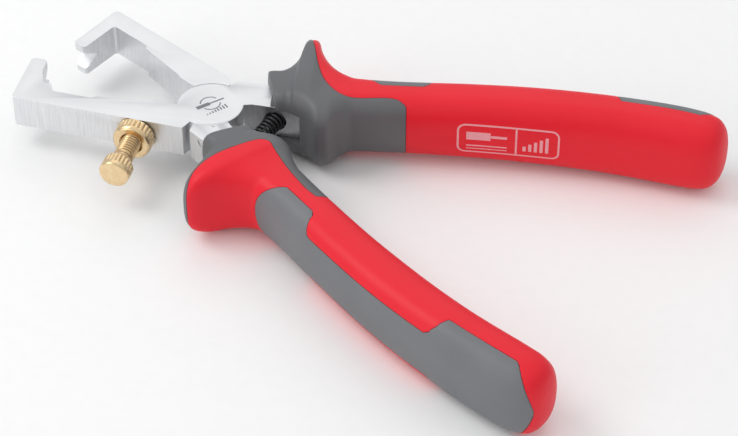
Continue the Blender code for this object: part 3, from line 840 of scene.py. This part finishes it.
def surfaced(tree, shader, colour, roughness, height, strength, distance):
    """Link colour, roughness and a bump of a real depth in millimetres to the shader."""
    tree.links.new(colour, shader.inputs["Base Color"])
    tree.links.new(roughness, shader.inputs["Roughness"])
    bump = node(tree, "Bump", {"Height": height, "Strength": strength, "Distance": distance * MM})
    tree.links.new(bump.outputs["Normal"], shader.inputs["Normal"])


def satin_chromed_steel():
    """Drop-forged steel, belt-ground on its edges and blasted before plating: flat faces are an even
    satin that spreads the light, the ground edges carry fine upright lines and look a shade darker."""
    material, tree, shader, place = finish("satin_chromed_forged_steel", Metallic=1.0)
    # the plating's tone wanders over about 9 mm
    cloud = node(tree, "TexNoise", {"Vector": place, "Scale": 1 / 9, "Detail": 2.0}).outputs["Fac"]
    # blasting grit leaves pits of about 0.1 mm, drawn at 0.25 mm so that they show
    pits = node(tree, "TexNoise", {"Vector": place, "Scale": 1 / 0.25, "Detail": 2.0}).outputs["Fac"]
    # a 0.15 mm belt grain leaves lines across the thickness, drawn 0.35 mm apart so that they show
    upright = node(tree, "VectorMath", {0: place, 1: (1.0, 1.0, 0.05)}, operation="MULTIPLY").outputs[0]
    lines = node(tree, "TexNoise", {"Vector": upright, "Scale": 1 / 0.35, "Detail": 3.0}).outputs["Fac"]
    facing = node(tree, "SeparateXYZ", {0: node(tree, "NewGeometry").outputs["Normal"]}).outputs["Z"]
    flat = node(tree, "Math", {0: facing}, operation="ABSOLUTE").outputs[0]
    edge = node(tree, "MapRange", {"Value": flat, "From Min": 0.3, "From Max": 0.8,
                                   "To Min": 1.0, "To Max": 0.0}).outputs["Result"]
    satin = node(tree, "Mix", {0: cloud, 6: linear("DCDDDF"), 7: linear("EAEBEC")}, data_type="RGBA")
    ground = node(tree, "Mix", {0: lines, 6: linear("D0D1D4"), 7: linear("F6F7F8")}, data_type="RGBA")
    colour = node(tree, "Mix", {0: edge, 6: satin.outputs[2], 7: ground.outputs[2]}, data_type="RGBA")
    height = node(tree, "Mix", {0: edge, 2: pits, 3: lines}).outputs[0]
    rough = node(tree, "MapRange", {"Value": height, "To Min": 0.3, "To Max": 0.5}).outputs["Result"]
    surfaced(tree, shader, colour.outputs[2], rough, height, 0.35, 0.012)
    return material


def etched_oxide():
    """Electro-etched steel: a thin dark oxide with a dull, slightly uneven tone."""
    material, tree, shader, place = finish("electro_etched_oxide", Metallic=0.3)
    # the electrolyte leaves specks of about 0.1 mm, drawn at 0.2 mm so that they show
    speck = node(tree, "TexNoise", {"Vector": place, "Scale": 1 / 0.2, "Detail": 2.0}).outputs["Fac"]
    colour = node(tree, "Mix", {0: speck, 6: linear("6A6B6E"), 7: linear("8E8F92")}, data_type="RGBA")
    rough = node(tree, "MapRange", {"Value": speck, "To Min": 0.45, "To Max": 0.7}).outputs["Result"]
    surfaced(tree, shader, colour.outputs[2], rough, speck, 0.3, 0.01)
    return material


def turned_brass():
    """Free-cutting brass off a lathe, left bright: fine tool rings catch the light as thin arcs, and
    the gold deepens where the finger grease has dulled it."""
    material, tree, shader, place = finish("turned_bright_brass", Metallic=1.0)
    # a feed of 0.1 mm per turn, drawn at 0.25 mm so that the rings show
    rings = node(tree, "TexWave", {"Vector": place, "Scale": 0.314 / 0.25, "Distortion": 0.4,
                                   "Detail": 1.0},
                 wave_type="RINGS", rings_direction="Z").outputs["Fac"]
    # patches dulled by fingers are about 1.6 mm across
    dulled = node(tree, "TexNoise", {"Vector": place, "Scale": 1 / 1.6, "Detail": 2.0}).outputs["Fac"]
    colour = node(tree, "Mix", {0: dulled, 6: linear("F4DDB4"), 7: linear("E6C493")}, data_type="RGBA")
    rough = node(tree, "MapRange", {"Value": dulled, "To Min": 0.18, "To Max": 0.38}).outputs["Result"]
    surfaced(tree, shader, colour.outputs[2], rough, rings, 0.2, 0.008)
    return material


def die_cut_brass():
    """Brass thread cut with a die: the crests are smooth and shine, and the roots are painted dark
    brown as painted shade with some grime, so the turns read as dark lines between bright ones."""
    material, tree, shader, place = finish("die_cut_brass_thread", Metallic=1.0)
    across = node(tree, "VectorMath", {0: place, 1: (1.0, 1.0, 0.0)}, operation="MULTIPLY").outputs[0]
    radius = node(tree, "VectorMath", {0: across}, operation="LENGTH").outputs["Value"]
    crest = node(tree, "MapRange", {"Value": radius, "From Min": SCREW_RADIUS - THREAD_DEPTH,
                                    "From Max": SCREW_RADIUS - 0.1}).outputs["Result"]
    # the die tears the metal into streaks about 0.3 mm long
    torn = node(tree, "TexNoise", {"Vector": place, "Scale": 1 / 0.3, "Detail": 2.0}).outputs["Fac"]
    bright = node(tree, "Mix", {0: torn, 6: linear("F0D8AE"), 7: linear("DDB985")}, data_type="RGBA")
    # painted shade with some grime: the thread's roots get a dark brown, the crests the bright brass
    colour = node(tree, "Mix", {0: crest, 6: linear("6E4C26"), 7: bright.outputs[2]}, data_type="RGBA")
    rough = node(tree, "MapRange", {"Value": crest, "To Min": 0.5, "To Max": 0.28}).outputs["Result"]
    surfaced(tree, shader, colour.outputs[2], rough, torn, 0.2, 0.01)
    return material


def blackened_spring_wire():
    """Patented spring wire, oil-blackened after winding: near black with a narrow oily highlight and
    faint drawing marks along the wire."""
    material, tree, shader, place = finish("oil_blackened_spring_wire", Metallic=0.85)
    # the drawing die leaves marks of about 0.1 mm, drawn at 0.25 mm so that they show
    marks = node(tree, "TexNoise", {"Vector": place, "Scale": 1 / 0.25, "Detail": 3.0}).outputs["Fac"]
    colour = node(tree, "Mix", {0: marks, 6: linear("1E1E1F"), 7: linear("4C4C4E")}, data_type="RGBA")
    rough = node(tree, "MapRange", {"Value": marks, "To Min": 0.22, "To Max": 0.48}).outputs["Result"]
    surfaced(tree, shader, colour.outputs[2], rough, marks, 0.25, 0.01)
    return material


def moulded(name, dark, light, gloss, roughness, depth):
    """A moulded skin: spark-eroded grain, slow tone changes and the mould's parting line."""
    material, tree, shader, place = finish(name, IOR=1.5, Specular_IOR_Level=gloss)
    # spark erosion leaves a grain of about 0.15 mm, drawn at 0.3 mm so that it shows
    sparks = node(tree, "TexNoise", {"Vector": place, "Scale": 1 / 0.3, "Detail": 3.0}).outputs["Fac"]
    # the tone wanders over about 14 mm where the melt cooled unevenly
    slow = node(tree, "TexNoise", {"Vector": place, "Scale": 1 / 14, "Detail": 1.0}).outputs["Fac"]
    height = node(tree, "SeparateXYZ", {0: place}).outputs["Z"]
    away = node(tree, "Math", {0: height, 1: STEEL_LOW + HALF_STEEL}, operation="SUBTRACT").outputs[0]
    away = node(tree, "Math", {0: away}, operation="ABSOLUTE").outputs[0]
    # the two mould halves meet at mid height and leave a ridge about 0.3 mm wide
    ridge = node(tree, "MapRange", {"Value": away, "From Min": 0.08, "From Max": 0.3,
                                    "To Min": 1.6, "To Max": 0.0}).outputs["Result"]
    share = node(tree, "Mix", {0: 0.3, 2: slow, 3: sparks}).outputs[0]
    colour = node(tree, "Mix", {0: share, 6: linear(dark), 7: linear(light)}, data_type="RGBA")
    relief = node(tree, "Math", {0: ridge, 1: sparks}, operation="ADD").outputs[0]
    rough = node(tree, "MapRange", {"Value": sparks, "To Min": roughness - 0.12,
                                    "To Max": roughness + 0.14}).outputs["Result"]
    surfaced(tree, shader, colour.outputs[2], rough, relief, 0.4, depth)
    return material


def red_elastomer():
    """Thermoplastic elastomer moulded over the core: saturated red that turns paler where the
    matt skin scatters the light, with a soft, wide highlight."""
    return moulded("red_moulded_elastomer", "E41022", "F02034", 0.34, 0.44, 0.03)


def grey_polypropylene():
    """Glass-filled polypropylene, moulded first: a neutral dark grey, a little drier than the red."""
    return moulded("grey_moulded_polypropylene", "565759", "6C6D70", 0.6, 0.46, 0.03)


def grey_soft_pad():
    """Soft-touch elastomer in the palm side: a blue-grey that is matt and shows the grain most."""
    return moulded("grey_soft_touch_elastomer", "686A6D", "7E8083", 0.45, 0.5, 0.045)


def pad_ink():
    """Pad-printing ink on the red skin: thin white that lets some red through at its edges."""
    material, tree, shader, place = finish("pad_printed_ink", IOR=1.5)
    # the rubber pad leaves the film uneven over about 0.35 mm
    film = node(tree, "TexNoise", {"Vector": place, "Scale": 1 / 0.35, "Detail": 2.0}).outputs["Fac"]
    colour = node(tree, "Mix", {0: film, 6: linear("EA8A92"), 7: linear("F6BCC0")}, data_type="RGBA")
    rough = node(tree, "MapRange", {"Value": film, "To Min": 0.4, "To Max": 0.6}).outputs["Result"]
    surfaced(tree, shader, colour.outputs[2], rough, film, 0.2, 0.01)
    return material


def painted_board():
    """White matt paint on a board: even, with a very faint roller texture."""
    material, tree, shader, place = finish("white_matt_paint", IOR=1.45, Specular_IOR_Level=0.2)
    # the roller leaves dimples about 3 mm across
    roller = node(tree, "TexNoise", {"Vector": place, "Scale": 1 / 3, "Detail": 2.0}).outputs["Fac"]
    colour = node(tree, "Mix", {0: roller, 6: linear("F7F7F7"), 7: linear("FBFBFB")}, data_type="RGBA")
    rough = node(tree, "MapRange", {"Value": roller, "To Min": 0.7, "To Max": 0.95}).outputs["Result"]
    surfaced(tree, shader, colour.outputs[2], rough, roller, 0.05, 0.05)
    return material


# Studio ---------------------------------------------------------------------------------------

def studio():
    """A wide pale floor just under the handles, an even white tent and soft boxes."""
    floor = bmesh.new()
    bmesh.ops.create_grid(floor, x_segments=8, y_segments=8, size=FLOOR_HALF)
    level = cad_box[0].z / MM - FLOOR_GAP
    board = made("studio_floor", floor, painted_board(), Matrix.Translation((30, 0, level)))

    world = bpy.data.worlds.new("white_tent")
    bpy.context.scene.world = world
    world.use_nodes = True
    tree = world.node_tree
    background = tree.nodes["Background"]
    up = node(tree, "SeparateXYZ", {0: node(tree, "TexCoord").outputs["Generated"]}).outputs["Z"]
    rise = node(tree, "MapRange", {"Value": up, "From Max": 0.8}).outputs["Result"]
    tone = node(tree, "Mix", {0: rise, 6: linear("C2C4C8"), 7: linear("FFFFFF")}, data_type="RGBA")
    tree.links.new(tone.outputs[2], background.inputs["Color"])
    background.inputs["Strength"].default_value = TENT_STRENGTH

    aim = Vector(SOFT_BOX_AIM)
    for name, place, size, watts in SOFT_BOXES:
        light = bpy.data.lights.new(name, "AREA")
        light.shape = "DISK"
        light.size = size
        light.energy = watts
        lamp = bpy.data.objects.new(name, light)
        bpy.context.scene.collection.objects.link(lamp)
        lamp.location = place
        lamp.rotation_euler = (aim - Vector(place)).to_track_quat("-Z", "Y").to_euler()
    bpy.context.scene.view_settings.view_transform = "Standard"


def camera():
    """A long lens from the front right, looking down at about 41 degrees."""
    data = bpy.data.cameras.new("camera")
    data.lens = LENS
    data.sensor_width = SENSOR
    data.clip_start = 0.005
    view = bpy.data.objects.new("camera", data)
    bpy.context.scene.collection.objects.link(view)
    turn = Matrix((CAMERA_RIGHT, CAMERA_UP, CAMERA_BACK)).transposed()
    view.matrix_world = Matrix.Translation(CAMERA_PLACE) @ turn.to_4x4()
    bpy.context.scene.camera = view


def main():
    steel = satin_chromed_steel()
    brass = turned_brass()
    finishes = {"core": grey_polypropylene(), "grip": red_elastomer(), "inlay": grey_soft_pad()}
    forged("lower_jaw_forging", "lower_jaw_lever", "root", steel)
    joint_rim(steel)
    marks = [dimple(*PUNCH_MARK, PUNCH_RADIUS, PUNCH_DEPTH), die_groove(HOOK_LINE, HOOK_RADIUS)]
    forged("upper_jaw_forging", "upper_jaw_lever", "jaw", steel, cuts=marks)
    forged("pivot_rivet_shank", "pivot_rivet", "root", steel)
    threaded_shank(die_cut_brass())
    screw_head(brass)
    lock_nut(brass)
    opening_spring(blackened_spring_wire())
    handle("upper", "root", 1, UPPER_SPLIT, finishes)
    handle("lower", "jaw", -1, LOWER_SPLIT, finishes)
    disc_etching(etched_oxide())
    grip_print(pad_ink())
    studio()
    camera()


main()
